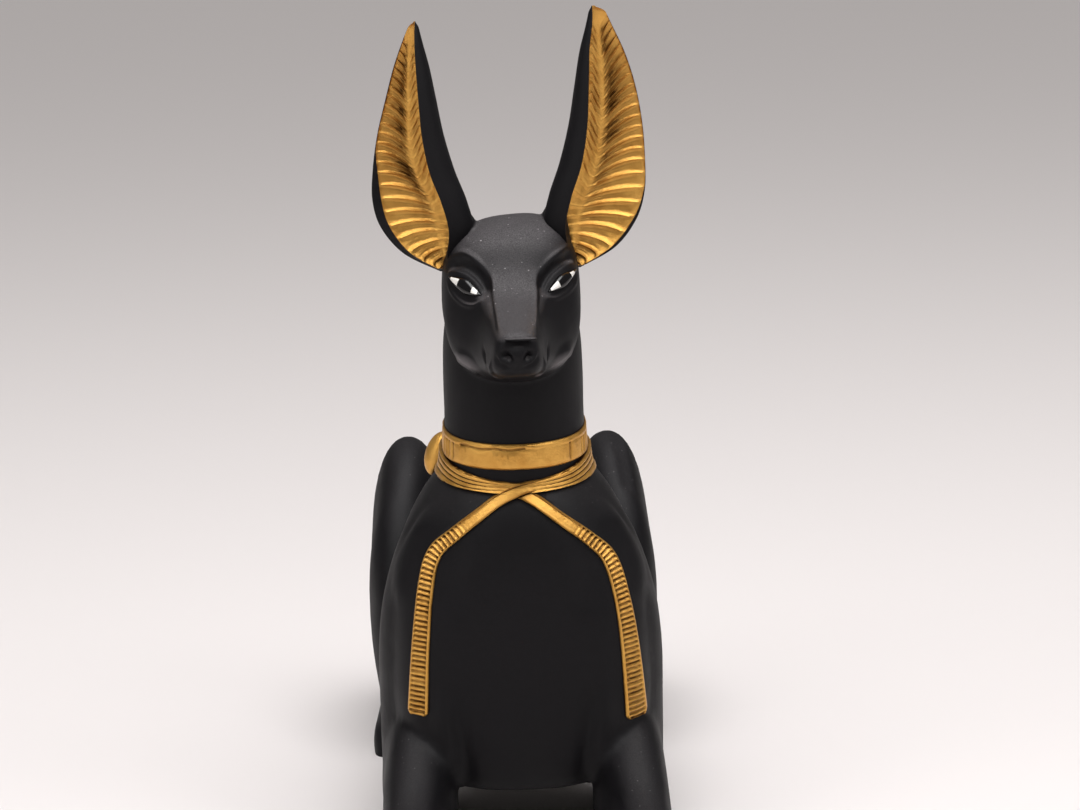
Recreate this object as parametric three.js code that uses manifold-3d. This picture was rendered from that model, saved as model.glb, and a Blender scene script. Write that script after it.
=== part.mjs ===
// A figurine of a jackal lying with its head up, cast in one piece, with collar, scarf and ribbons in relief.
// Millimetres, +Z up, the animal faces -Y, and it lies on the plane z = 0.
// Each y below is measured back from the front of the neck, and the finished mesh is moved to centre its box.
import * as THREE from "three";
import { mergeVertices } from "three/addons/utils/BufferGeometryUtils.js";
import Module from "manifold-3d";

const wasm = await Module();
wasm.setup();

// Overall sizes
const EAR_TIP_Z = 207;
const PAW_FRONT_Y = -58;
const TAIL_END_Y = 204;
const CROWN_Z = 156.5;
const HEAD_HALF_WIDTH = 17;
const BACK_Z = 87;
const CHEST_HALF_WIDTH = 33.8;
const HAUNCH_TOP_Z = 80.5;
const BELLY_CLEARANCE = 14;

// Neck, collar and scarf
const NECK_HALF_WIDTH = 17.4;
const NECK_HALF_DEPTH = 19.5;
const NECK_Y = 20;
const COLLAR_Z = 98.4;
const COLLAR_HEIGHT = 6.4;
const COLLAR_BACK_RISE = 4.4;
const COLLAR_RELIEF = 1;
const SCARF_Z = 88.6;
const SCARF_BACK_RISE = 9;
const SCARF_HALF_HEIGHT = 2.6;
const SCARF_SIDE_HALF_HEIGHT = 3.9;
const SCARF_RELIEF = 1.2;
const RIBBON_RELIEF = 1.1;
const BURIED = 4;

// Eyes and nose
const EYE_X = 11.6;
const EYE_Z = 141.6;
const EYE_HALF_LENGTH = 4.6;
const EYE_HALF_HEIGHT = 2.1;
const EYE_SLANT = THREE.MathUtils.degToRad(16);
const EYE_TURN = THREE.MathUtils.degToRad(38);
const NOSE_Y = -35.2;
const NOSE_Z = 131.4;
const NOSE_HALF_WIDTH = 4.5;

// Paws
const FOREPAW_X = 28.3;
const HINDPAW_X = 33;
const HINDPAW_FRONT_Y = 84;
const TOES = 4;

// Every value of the stations at t, which runs from 0 at the first to 1 at the last, on a smooth curve.
function blend(stations, t) {
  const place = t * (stations.length - 1);
  const first = Math.min(Math.floor(place), stations.length - 2);
  const u = place - first;
  const near = [-1, 0, 1, 2].map((k) => THREE.MathUtils.clamp(first + k, 0, stations.length - 1));
  const out = {};
  for (const key of Object.keys(stations[0])) {
    const [a, b, c, d] = near.map((i) => stations[i][key]);
    const bend = (2 * a - 5 * b + 4 * c - d) * u * u + (3 * b - a - 3 * c + d) * u * u * u;
    out[key] = 0.5 * (2 * b + (c - a) * u + bend);
  }
  return out;
}

// A closed skin over rings of equally many points, with a point in the middle of each end ring.
function skin(rings) {
  const count = rings[0].length;
  const middle = (ring) => ring.reduce((sum, p) => sum.add(p), new THREE.Vector3()).divideScalar(count);
  const points = [...rings.flat(), middle(rings[0]), middle(rings.at(-1))];
  const index = [];
  for (let i = 0; i < count; i += 1) {
    const next = (i + 1) % count;
    for (let r = 0; r < rings.length - 1; r += 1) {
      const low = r * count;
      const high = low + count;
      index.push(low + i, low + next, high + next, low + i, high + next, high + i);
    }
    const last = (rings.length - 1) * count;
    index.push(points.length - 2, next, i, points.length - 1, last + i, last + next);
  }
  const geometry = new THREE.BufferGeometry().setFromPoints(points);
  geometry.setIndex(index);
  return geometry;
}

// The same geometry on the other side of the body, with its faces turned to point out again.
function mirrored(geometry) {
  const other = geometry.clone().scale(-1, 1, 1);
  const index = Array.from(other.index.array);
  for (let i = 0; i < index.length; i += 3) {
    [index[i + 1], index[i + 2]] = [index[i + 2], index[i + 1]];
  }
  other.setIndex(index);
  return other;
}

// A unit oval, squarer as its power grows, turned into points by the function it is given.
// Its lower half can be squarer than its upper half.
function oval(count, power, lowPower, point) {
  return Array.from({ length: count }, (_, i) => {
    const angle = (2 * Math.PI * (i + 0.5)) / count;
    const corner = Math.sin(angle) > 0 ? power : lowPower;
    const round = (v) => Math.sign(v) * Math.abs(v) ** (2 / corner);
    return point(round(Math.cos(angle)), round(Math.sin(angle)));
  });
}

// A body that runs from front to back, with upright sections that lean in towards their top.
function runBack(stations, around, steps) {
  const rings = [];
  for (let i = 0; i <= steps; i += 1) {
    const s = blend(stations, i / steps);
    rings.push(
      oval(around, s.power, s.lowPower ?? s.power, (u, v) => {
        const x = s.x + s.wide * u * (1 - s.lean * v);
        const z = v > 0 ? s.z + (s.top - s.z) * v : s.z + (s.z - s.low) * v;
        return new THREE.Vector3(x, s.y, z);
      }),
    );
  }
  return skin(rings.reverse());
}

// A body that stands up, with level sections.
function runUp(stations, around, steps) {
  const rings = [];
  for (let i = 0; i <= steps; i += 1) {
    const s = blend(stations, i / steps);
    const point = (u, v) => new THREE.Vector3(s.x + s.wide * u, s.y + s.deep * v, s.z);
    rings.push(oval(around, s.power, s.power, point));
  }
  return skin(rings);
}

// Solids to join and cut
function solid(geometry) {
  const bare = geometry.clone();
  bare.deleteAttribute("normal");
  bare.deleteAttribute("uv");
  const merged = mergeVertices(bare, 1e-4);
  const mesh = new wasm.Mesh({
    numProp: 3,
    vertProperties: new Float32Array(merged.attributes.position.array),
    triVerts: new Uint32Array(merged.index.array),
  });
  return new wasm.Manifold(mesh);
}

const join = (solids) => solids.reduce((all, one) => all.add(one));

const pair = (geometry) => [solid(geometry), solid(mirrored(geometry))];

function geometryOf(body) {
  const mesh = body.getMesh();
  const geometry = new THREE.BufferGeometry();
  geometry.setAttribute("position", new THREE.BufferAttribute(new Float32Array(mesh.vertProperties), 3));
  geometry.setIndex(new THREE.BufferAttribute(new Uint32Array(mesh.triVerts), 1));
  return geometry;
}

function ellipsoid(halfX, halfY, halfZ, around = 12) {
  return new THREE.SphereGeometry(1, around, Math.round(around * 0.6)).scale(halfX, halfY, halfZ);
}

// Trunk: the chest is broad and blunt, its underside is clear of the ground, and the rump lies on it.
function trunkStation(y, wide, z, low, top, lowPower) {
  return { x: 0, y, wide, z, low, top, power: 2.1, lowPower, lean: 0 };
}
const belly = BELLY_CLEARANCE;
const trunk = runBack(
  [
    trunkStation(-6.6, 15, 50, 28, 70, 2.6),
    trunkStation(-5.6, 22, 50, 20, 79, 2.9),
    trunkStation(-2.6, 27.6, 50, belly + 1, 87, 3.2),
    trunkStation(4, 31.4, 49, belly, 93.5, 3.2),
    trunkStation(14, CHEST_HALF_WIDTH - 0.6, 46, belly, 99, 3),
    trunkStation(25, CHEST_HALF_WIDTH, 43, belly, 101, 2.8),
    trunkStation(37, CHEST_HALF_WIDTH, 43, belly, 97, 2.6),
    trunkStation(50, CHEST_HALF_WIDTH - 1.8, 43, belly, BACK_Z + 2, 2.4),
    trunkStation(64, CHEST_HALF_WIDTH - 3.6, 44, belly + 1, BACK_Z - 2, 2.3),
    trunkStation(80, CHEST_HALF_WIDTH - 5.6, 45, belly + 3, BACK_Z - 6, 2.2),
    trunkStation(98, CHEST_HALF_WIDTH - 6.2, 44, belly, BACK_Z - 9, 2.4),
    trunkStation(114, CHEST_HALF_WIDTH - 6, 42, -2, BACK_Z - 10.5, 3),
    trunkStation(131, CHEST_HALF_WIDTH - 7, 38, -8, BACK_Z - 14, 3.2),
    trunkStation(145, 22, 36, -8, 63, 2.8),
    trunkStation(153, 13, 32, 4, 48, 2.1),
  ],
  24,
  20,
);

// Neck
const neckStation = (z, wide, deep, y, power = 2.2) => ({ x: 0, y, z, wide, deep, power });
const neck = runUp(
  [
    neckStation(70, 22, 24, 26),
    neckStation(86, 19.6, 21.5, 22.5),
    neckStation(95, 18, 20, 20.6),
    neckStation(105, NECK_HALF_WIDTH, NECK_HALF_DEPTH, NECK_Y),
    neckStation(116, NECK_HALF_WIDTH, NECK_HALF_DEPTH, NECK_Y),
    neckStation(126, NECK_HALF_WIDTH - 0.4, NECK_HALF_DEPTH - 1, NECK_Y),
    neckStation(136, NECK_HALF_WIDTH - 2, NECK_HALF_DEPTH - 3, NECK_Y),
  ],
  24,
  9,
);

// Head
const headStation = (y, wide, z, low, top, power, lean) => ({ x: 0, y, wide, z, low, top, power, lean });
const head = runBack(
  [
    headStation(-36, 4.2, 129.6, 126.2, 133.4, 2.6, 0.04),
    headStation(-33.6, 5.6, 129, 124.4, 135, 2.8, 0.1),
    headStation(-27, 6.6, 128.8, 123.2, 136.2, 3.2, 0.16),
    headStation(-18, 7.6, 129, 121.6, 137.6, 3.4, 0.2),
    headStation(-9, 9.8, 129.6, 119.6, 139.6, 3.2, 0.24),
    headStation(-2, 13.4, 131.6, 117.4, 144.4, 2.8, 0.2),
    headStation(4, 16.2, 134, 116, 151.2, 2.9, 0.1),
    headStation(11, HEAD_HALF_WIDTH, 136, 116, CROWN_Z - 1, 3, 0.03),
    headStation(20, HEAD_HALF_WIDTH, 137, 114, CROWN_Z, 2.8, 0.03),
    headStation(29, HEAD_HALF_WIDTH - 1.4, 136, 114, CROWN_Z - 3, 2.5, 0.05),
    headStation(36, HEAD_HALF_WIDTH - 5.5, 134, 117, CROWN_Z - 10, 2.2, 0.05),
    headStation(39.5, 5, 132, 124, CROWN_Z - 19, 2, 0),
  ],
  26,
  18,
);

// Ears: long scoops that open forwards and outwards. A level section is a bowed wall between two rims.
// The animal's right ear is slimmer near its tip than its left one.
function earStation(z, rimX, rimY, edgeX, edgeY, bulge, slimmer) {
  return { z, rimX, rimY, edgeX, edgeY, bulge, slimmer };
}
const EAR_WALL = 2.4;
const EAR_STATIONS = [
  earStation(143, 15.6, 11.5, 17.2, 13, 0.6, 0),
  earStation(147.5, 15.4, 9.5, 26, 15, 4.2, 0),
  earStation(154, 14.8, 8, 31.4, 16.5, 6, 0),
  earStation(161, 16.3, 7.4, 33.7, 17.5, 6.2, 0.3),
  earStation(169, 19, 7.4, 34, 18.4, 6, 0.9),
  earStation(178, 20.6, 8, 33.5, 19, 5.2, 1.8),
  earStation(187, 21.2, 9, 32, 19.4, 4.2, 2.6),
  earStation(195, 21.6, 10.4, 29.6, 19, 3.2, 2.4),
  earStation(202, 22, 12, 26, 17.6, 1.8, 1.2),
  earStation(EAR_TIP_Z, 22.4, 14, 23.4, 15.4, 0.5, 0),
];

function ear(slimness, around, steps) {
  const rings = [];
  for (let i = 0; i <= steps; i += 1) {
    const s = blend(EAR_STATIONS, i / steps);
    const back = new THREE.CubicBezierCurve(
      new THREE.Vector2(s.rimX, s.rimY),
      new THREE.Vector2(s.rimX - 2 * s.bulge, s.rimY + 0.6 * s.bulge),
      new THREE.Vector2(s.rimX - 0.9 * s.bulge, s.edgeY + 0.9 * s.bulge),
      new THREE.Vector2(s.edgeX - slimness * s.slimmer, s.edgeY),
    );
    const outside = [];
    const inside = [];
    for (let k = 0; k <= around; k += 1) {
      const t = k / around;
      const point = back.getPoint(t);
      const tangent = back.getTangent(t);
      const wall = EAR_WALL * Math.min(1, s.bulge / 4) * (0.45 + 0.55 * Math.sin(Math.PI * t));
      outside.push(new THREE.Vector3(point.x, point.y, s.z));
      inside.unshift(new THREE.Vector3(point.x + tangent.y * wall, point.y - tangent.x * wall, s.z));
    }
    rings.push([...outside, ...inside]);
  }
  return skin(rings.map((ring) => ring.reverse()));
}

// Foreleg: the upper arm slopes back to the elbow, and the forearm runs forwards along the ground to the paw.
const upperArm = runUp(
  [
    { x: 28.5, y: 30, z: -4, wide: 6.6, deep: 12, power: 2.2 },
    { x: 28.4, y: 27, z: 14, wide: 7.4, deep: 13.5, power: 2.2 },
    { x: 27.2, y: 22, z: 32, wide: 8.6, deep: 15, power: 2.2 },
    { x: 26, y: 18, z: 48, wide: 9.6, deep: 15.5, power: 2.2 },
    { x: 23.4, y: 17, z: 62, wide: 10.4, deep: 15, power: 2.2 },
    { x: 19.6, y: 18, z: 76, wide: 9.6, deep: 13, power: 2.2 },
    { x: 16.5, y: 20, z: 87, wide: 6, deep: 9, power: 2.2 },
  ],
  18,
  10,
);
const legStation = (y, x, wide, z, top, low = -6) => ({ x, y, wide, z, low, top, power: 2.4, lean: 0.06 });
const forearm = runBack(
  [
    legStation(PAW_FRONT_Y + 1.5, FOREPAW_X, 5.4, 3, 7),
    legStation(PAW_FRONT_Y + 6, FOREPAW_X, 7.4, 4, 11),
    legStation(PAW_FRONT_Y + 14, FOREPAW_X, 7.6, 5, 13.6),
    legStation(-34, FOREPAW_X, 6.6, 6, 14),
    legStation(-20, 28.2, 7.2, 8, 18.6),
    legStation(-8, 26.8, 8.8, 10, 26),
    legStation(4, 26.2, 9.4, 11, 34),
    legStation(18, 26.8, 9, 11, 34),
    legStation(32, 28.4, 7.6, 10, 26),
    legStation(42, 28.8, 5.6, 9, 18, -1),
    legStation(47, 29, 2.4, 8.5, 12, 5),
  ],
  16,
  16,
);

// Hind leg: the thigh stands up beside the rump with its knee forward, and the foot lies flat under it.
const thighStation = (y, x, wide, z, top, low = -8) => ({ x, y, wide, z, low, top, power: 2.2, lean: 0 });
const thigh = runBack(
  [
    thighStation(86, 31, 2.4, 38, 42, 34),
    thighStation(90, 31, 6, 38, 52, 22),
    thighStation(98, 30.4, 8.8, 40, 64, 8),
    thighStation(108, 28.8, 10, 44, 73),
    thighStation(118, 28, 10.4, 49, 79),
    thighStation(127, 27.6, 10.6, 50, HAUNCH_TOP_Z),
    thighStation(137, 26.8, 10.4, 47, HAUNCH_TOP_Z - 5),
    thighStation(147, 25, 9.2, 40, 63),
    thighStation(154, 23.4, 6.4, 32, 47, 0),
    thighStation(158, 22.4, 2.8, 24, 30, 14),
  ],
  18,
  13,
);
const hindFoot = runBack(
  [
    legStation(HINDPAW_FRONT_Y + 1.5, HINDPAW_X, 4.8, 3, 6),
    legStation(HINDPAW_FRONT_Y + 6, HINDPAW_X, 6.2, 4, 9.6),
    legStation(HINDPAW_FRONT_Y + 16, HINDPAW_X, 5.8, 4, 11),
    legStation(118, HINDPAW_X - 0.6, 5.4, 4, 11.5),
    legStation(138, HINDPAW_X - 2, 5.4, 5, 15),
    legStation(151, HINDPAW_X - 4, 5, 6, 16),
    legStation(159, HINDPAW_X - 5, 2.6, 6, 10, 1),
  ],
  14,
  9,
);

// Toes: a row of small rounded forms that stand a little out of the front of a paw.
function toes(pawX, frontY, halfWidth, height) {
  return Array.from({ length: TOES }, (_, i) => {
    const across = ((i + 0.5) / TOES) * 2 - 1;
    const set = Math.abs(across) > 0.5 ? 2 : 0;
    const toe = ellipsoid(halfWidth * 0.3, 6.2, height, 8);
    return toe.translate(pawX + across * halfWidth * 0.78, frontY + 6.2 + set, height * 0.42);
  });
}

// Tail: it drops from the rump to the ground and lies straight back.
const tail = runBack(
  [
    { x: 0, y: 136, wide: 6, z: 50, low: 34, top: 62, power: 2, lean: 0 },
    { x: 0, y: 149, wide: 6.6, z: 38, low: 14, top: 55, power: 2, lean: 0 },
    { x: 0, y: 158, wide: 7, z: 23, low: -2, top: 38, power: 2, lean: 0 },
    { x: 0, y: 168, wide: 7.4, z: 9, low: -6, top: 20, power: 2, lean: 0 },
    { x: 0, y: 180, wide: 8, z: 5, low: -6, top: 14, power: 2, lean: 0 },
    { x: 0, y: 192, wide: 7, z: 4, low: -5, top: 11.6, power: 2, lean: 0 },
    { x: 0, y: TAIL_END_Y - 3.5, wide: 4, z: 3, low: -2, top: 7.4, power: 2, lean: 0 },
    { x: 0, y: TAIL_END_Y, wide: 0.8, z: 2, low: 0.8, top: 3, power: 2, lean: 0 },
  ],
  14,
  12,
);

const ground = new THREE.BoxGeometry(200, 500, 60).translate(0, 50, -30);
const bareBody = join([
  solid(trunk),
  solid(neck),
  solid(head),
  ...pair(upperArm),
  ...pair(forearm),
  ...pair(thigh),
  ...pair(hindFoot),
  solid(tail),
]).subtract(solid(ground));

// Where a straight line first meets the bare body
const bareMesh = new THREE.Mesh(geometryOf(bareBody));
function meets(from, direction) {
  const hits = new THREE.Raycaster(from, direction.clone().normalize()).intersectObject(bareMesh);
  return hits[0].point;
}

// Collar and scarf: closed bands that follow the neck, each lowest in front and highest at the nape.
function band(level, halfHeight, relief, around) {
  const rings = [];
  for (let i = 0; i < around; i += 1) {
    const angle = (2 * Math.PI * i) / around;
    const outward = new THREE.Vector3(Math.cos(angle), Math.sin(angle), 0);
    const backness = (1 + outward.y) / 2;
    const middle = new THREE.Vector3(0, NECK_Y, level(backness));
    const half = halfHeight(backness);
    const edge = (up, out) => {
      const start = middle.clone().addScaledVector(outward, 80);
      start.z += up;
      const onSkin = meets(start, outward.clone().negate());
      return onSkin.addScaledVector(outward, out);
    };
    rings.push([edge(-half, -BURIED), edge(half, -BURIED), edge(half, relief), edge(-half, relief)]);
  }
  const count = rings[0].length;
  const index = [];
  rings.forEach((_, i) => {
    const here = i * count;
    const there = ((i + 1) % around) * count;
    for (let k = 0; k < count; k += 1) {
      const next = (k + 1) % count;
      index.push(here + k, here + next, there + next, here + k, there + next, there + k);
    }
  });
  const geometry = new THREE.BufferGeometry().setFromPoints(rings.flat());
  geometry.setIndex(index);
  return geometry;
}

const collar = band(
  (backness) => COLLAR_Z + COLLAR_BACK_RISE * backness,
  () => COLLAR_HEIGHT / 2,
  COLLAR_RELIEF,
  32,
);
const scarf = band(
  (backness) => SCARF_Z + SCARF_BACK_RISE * backness ** 0.54,
  (backness) => THREE.MathUtils.lerp(SCARF_HALF_HEIGHT, SCARF_SIDE_HALF_HEIGHT, Math.min(1, 2 * backness)),
  SCARF_RELIEF,
  32,
);

// Ribbon: the scarf's end, from the crossing at the throat over the shoulder and down to the foreleg.
const RIBBON_LINE = new THREE.CatmullRomCurve3(
  [
    [-2.5, 90.6, 1.5],
    [2.2, 86.6, 1.6],
    [7, 83, 1.7],
    [14.6, 77.6, 1.9],
    [19.8, 70.6, 2.1],
    [22.6, 61.5, 2.25],
    [24.8, 49.5, 2.45],
    [26.8, 34.2, 2.75],
  ].map(([x, z, halfWidth]) => new THREE.Vector3(x, z, halfWidth)),
);

function ribbon(steps) {
  const rings = [];
  for (let i = 0; i <= steps; i += 1) {
    const place = RIBBON_LINE.getPoint(i / steps);
    const run = RIBBON_LINE.getTangent(i / steps);
    const across = new THREE.Vector2(run.y, -run.x).normalize().multiplyScalar(place.z);
    const edge = (way, out) => {
      const start = new THREE.Vector3(place.x + way * across.x, -90, place.y + way * across.y);
      const onSkin = meets(start, new THREE.Vector3(0, 1, 0));
      const outward = new THREE.Vector3(onSkin.x, onSkin.y - NECK_Y, 0).normalize();
      return onSkin.addScaledVector(outward, out);
    };
    rings.push([edge(1, -BURIED), edge(-1, -BURIED), edge(-1, RIBBON_RELIEF), edge(1, RIBBON_RELIEF)]);
  }
  return skin(rings);
}

// The loop of the scarf's knot, which stands out behind the neck on the animal's right.
const napeLoop = ellipsoid(4.4, 4, 7.4).rotateY(THREE.MathUtils.degToRad(20)).translate(-19.6, 39, 91);

// Face
function eye() {
  const at = meets(new THREE.Vector3(EYE_X, -90, EYE_Z), new THREE.Vector3(0, 1, 0));
  const ball = ellipsoid(EYE_HALF_LENGTH, 1.5, EYE_HALF_HEIGHT).rotateY(-EYE_SLANT).rotateZ(EYE_TURN);
  const brow = ellipsoid(7, 2.2, 2.4).rotateY(-EYE_SLANT).rotateZ(EYE_TURN);
  return [
    ball.translate(at.x, at.y + 0.4, at.z),
    brow.translate(at.x - 1, at.y + 1.9, at.z + 4.4),
  ];
}

const nose = ellipsoid(NOSE_HALF_WIDTH, 3, 3.7).translate(0, NOSE_Y, NOSE_Z);

const figure = join([
  bareBody,
  solid(ear(0, 7, 15)),
  solid(mirrored(ear(1, 7, 15))),
  ...toes(FOREPAW_X, PAW_FRONT_Y, 8, 6).flatMap(pair),
  ...toes(HINDPAW_X, HINDPAW_FRONT_Y, 6.6, 5).flatMap(pair),
  solid(collar),
  solid(scarf),
  ...pair(ribbon(16)),
  solid(napeLoop),
  ...eye().flatMap(pair),
  solid(nose),
]).subtract(solid(ground));

const resin = new THREE.MeshStandardMaterial({ color: 0x1b191c, roughness: 0.62, metalness: 0 });
const group = new THREE.Group();
const jackal = new THREE.Mesh(geometryOf(figure), resin);
jackal.name = "jackal_figure";
jackal.position.y = -(PAW_FRONT_Y + TAIL_END_Y) / 2;
group.add(jackal);

export default group;
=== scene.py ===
import math
import random

import bpy
import numpy as np
from mathutils import Euler, Matrix, Vector


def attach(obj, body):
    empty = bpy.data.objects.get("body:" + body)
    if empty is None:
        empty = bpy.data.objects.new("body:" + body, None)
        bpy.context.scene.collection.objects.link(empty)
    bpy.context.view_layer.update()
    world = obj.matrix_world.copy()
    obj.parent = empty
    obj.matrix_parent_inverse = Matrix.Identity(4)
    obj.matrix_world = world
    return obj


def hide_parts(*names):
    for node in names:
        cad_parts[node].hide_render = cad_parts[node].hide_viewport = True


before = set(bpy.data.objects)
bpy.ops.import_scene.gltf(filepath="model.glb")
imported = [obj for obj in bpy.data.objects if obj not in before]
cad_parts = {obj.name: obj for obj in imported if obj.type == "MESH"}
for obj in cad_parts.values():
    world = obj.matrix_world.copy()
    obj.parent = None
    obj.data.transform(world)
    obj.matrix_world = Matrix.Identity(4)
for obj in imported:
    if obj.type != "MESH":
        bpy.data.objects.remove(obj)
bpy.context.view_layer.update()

# Body
# The lying trunk with its legs, paws and tail is the bulk of the casting: filled resin poured into a
# rubber mould. The carver's model had soft shoulders and thighs that run into each other without edges.
# Places are in millimetres, with y measured back from the front of the neck, as a carver would mark them.
MM = 0.001
NECK_FRONT = -73
PAW_FRONT = -58
TAIL_END = 204
TOE_HALF_LENGTH = 6.2
BODY_GRAIN = 1.3
BODY_SMOOTHING = 7
BODY_KEPT = 0.3


def at(x, y, z):
    return Vector((x, y + NECK_FRONT, z)) * MM


def alone(piece):
    bpy.ops.object.select_all(action="DESELECT")
    piece.select_set(True)
    bpy.context.view_layer.objects.active = piece


def between(stations, t):
    """Every value of the stations at t, from 0 at the first to 1 at the last, on a smooth curve."""
    place = t * (len(stations) - 1)
    first = min(int(place), len(stations) - 2)
    u = place - first
    near = [min(max(first + k, 0), len(stations) - 1) for k in (-1, 0, 1, 2)]
    a, b, c, d = (np.array(stations[k], float) for k in near)
    bend = (2 * a - 5 * b + 4 * c - d) * u**2 + (3 * b - a - 3 * c + d) * u**3
    return 0.5 * (2 * b + (c - a) * u + bend)


def oval(count, power, low_power=None):
    """The corners of a unit oval, squarer as its power grows. Its lower half can be squarer."""
    corners = []
    for i in range(count):
        angle = 2 * math.pi * (i + 0.5) / count
        across, up = math.cos(angle), math.sin(angle)
        roundness = 2 / (power if up > 0 else low_power or power)
        corners.append([math.copysign(abs(v) ** roundness, v) for v in (across, up)])
    return corners


def skin(name, hoops, closed=False):
    """A closed skin: one circle for each hoop, shaped to its points, and all of them bridged."""
    bpy.ops.object.select_all(action="DESELECT")
    circles = []
    for hoop in hoops:
        bpy.ops.mesh.primitive_circle_add(vertices=len(hoop), radius=MM)
        circle = bpy.context.object
        circle.data.vertices.foreach_set("co", [v for point in hoop for v in point])
        circles.append(circle)
    for circle in circles:
        circle.select_set(True)
    bpy.context.view_layer.objects.active = circles[0]
    bpy.ops.object.join()
    piece = bpy.context.object
    piece.name = name
    bpy.ops.object.mode_set(mode="EDIT")
    bpy.ops.mesh.select_all(action="SELECT")
    bpy.ops.mesh.bridge_edge_loops(type="CLOSED" if closed else "SINGLE")
    bpy.ops.mesh.select_all(action="SELECT")
    if not closed:
        bpy.ops.mesh.fill_holes(sides=0)
        bpy.ops.mesh.select_all(action="SELECT")
    bpy.ops.mesh.normals_make_consistent(inside=False)
    bpy.ops.object.mode_set(mode="OBJECT")
    return piece


def run_back(name, stations, around, steps):
    """A form that runs from front to back. Stations: x, y, half width, middle z, low z, top z,
    power, lower power and how much the sides lean in towards the top."""
    hoops = []
    for i in range(steps + 1):
        x, y, wide, z, low, top, power, low_power, lean = between(stations, i / steps)
        hoops.append([
            at(x + wide * u * (1 - lean * v), y, z + (top - z if v > 0 else z - low) * v)
            for u, v in oval(around, power, low_power)
        ])
    return skin(name, hoops)


def run_up(name, stations, around, steps):
    """A form that stands up. Stations: x, y, z, half width and half depth."""
    hoops = []
    for i in range(steps + 1):
        x, y, z, wide, deep = between(stations, i / steps)
        hoops.append([at(x + wide * u, y + deep * v, z) for u, v in oval(around, 2.2)])
    return skin(name, hoops)


def turned_over(piece):
    """The same piece on the other side of the body, facing outwards again."""
    alone(piece)
    bpy.ops.object.mode_set(mode="EDIT")
    bpy.ops.mesh.select_all(action="SELECT")
    bpy.ops.transform.mirror(constraint_axis=(True, False, False), center_override=(0, 0, 0))
    bpy.ops.mesh.flip_normals()
    bpy.ops.object.mode_set(mode="OBJECT")
    return piece


def other_side(piece):
    """A copy of a piece on the other side of the body."""
    alone(piece)
    bpy.ops.object.duplicate()
    return turned_over(bpy.context.object)


def finish_with(piece, kind, **settings):
    """Adds one modifier with its settings and applies it."""
    alone(piece)
    step = piece.modifiers.new(kind.lower(), kind)
    for name, value in settings.items():
        setattr(step, name, value)
    bpy.ops.object.modifier_apply(modifier=step.name)


def weld(piece, others):
    """Joins closed pieces into one skin."""
    for other in others:
        finish_with(piece, "BOOLEAN", operation="UNION", solver="MANIFOLD", object=other)
        bpy.data.objects.remove(other)


def melt(piece, grain, rounds):
    """Rebuilds a skin in one even grain, in millimetres, and softens its creases."""
    alone(piece)
    piece.data.remesh_voxel_size = grain * MM
    bpy.ops.object.voxel_remesh()
    finish_with(piece, "SMOOTH", factor=0.5, iterations=rounds)


def slice_off(piece, place, facing):
    """Cuts off what lies past a plane, on the side that it faces, and closes the cut."""
    alone(piece)
    bpy.ops.object.mode_set(mode="EDIT")
    bpy.ops.mesh.select_all(action="SELECT")
    bpy.ops.mesh.bisect(
        plane_co=place, plane_no=facing, use_fill=True, clear_outer=True, threshold=0.005 * MM,
    )
    bpy.ops.mesh.select_all(action="SELECT")
    bpy.ops.mesh.delete_loose()
    bpy.ops.object.mode_set(mode="OBJECT")


def corners_of(piece):
    """The places of a piece's vertices, as rows."""
    places = np.empty(len(piece.data.vertices) * 3)
    piece.data.vertices.foreach_get("co", places)
    return places.reshape(-1, 3)


IN_FRONT = -90
STROKE_STEPS = 80
STROKE_SMOOTHING = 6


def stroke(piece, line, width, height, side="both", shift=0.0, taper=0.25):
    """Raises the skin along a line, or presses it in where the height is negative, with soft sides.
    The line is drawn on the front of the piece, as x and z, on both sides or as given. Its ends fade out."""
    spots = []
    for way in (1, -1) if side == "both" else (1,):
        path = []
        for k in range(STROKE_STEPS + 1):
            x, z = between(line, k / STROKE_STEPS)
            hit, place, _, _ = piece.ray_cast(at(way * x + shift, IN_FRONT, z), (0, 1, 0))
            if hit:
                ends = min(1, min(k, STROKE_STEPS - k) / STROKE_STEPS / taper)
                path.append((*place, ends * ends * (3 - 2 * ends)))
        path = np.array(path)
        depths = np.pad(path[:, 1], STROKE_SMOOTHING, mode="edge")
        window = 2 * STROKE_SMOOTHING + 1
        path[:, 1] = np.convolve(depths, np.ones(window) / window, mode="valid")
        spots.append(path)
    spots = np.concatenate(spots)
    places = corners_of(piece)
    facing = np.empty(places.size)
    piece.data.vertices.foreach_get("normal", facing)
    facing = facing.reshape(-1, 3)
    reach = width * MM
    low, high = spots[:, :3].min(0) - reach, spots[:, :3].max(0) + reach
    near = np.where(((places > low) & (places < high)).all(1))[0]
    gaps = np.linalg.norm(places[near, None, :] - spots[None, :, :3], axis=2)
    fall = np.clip(1 - (gaps / reach) ** 2, 0, 1) ** 2 * spots[None, :, 3]
    places[near] += facing[near] * (fall.max(1) * height * MM)[:, None]
    piece.data.vertices.foreach_set("co", places.ravel())
    piece.data.update()


def linear(colour):
    """An sRGB colour, written as hex, in linear light."""
    channels = [int(colour[i:i + 2], 16) / 255 for i in (0, 2, 4)]
    return [c / 12.92 if c <= 0.04045 else ((c + 0.055) / 1.055) ** 2.4 for c in channels] + [1]


def add(tree, kind, links=None, values=None, **settings):
    """Adds a node with its settings, its links and its values."""
    made = tree.nodes.new(kind)
    for name, value in settings.items():
        setattr(made, name, value)
    for name, source in (links or {}).items():
        tree.links.new(source, made.inputs[name])
    for name, value in (values or {}).items():
        made.inputs[name].default_value = value
    return made


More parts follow.
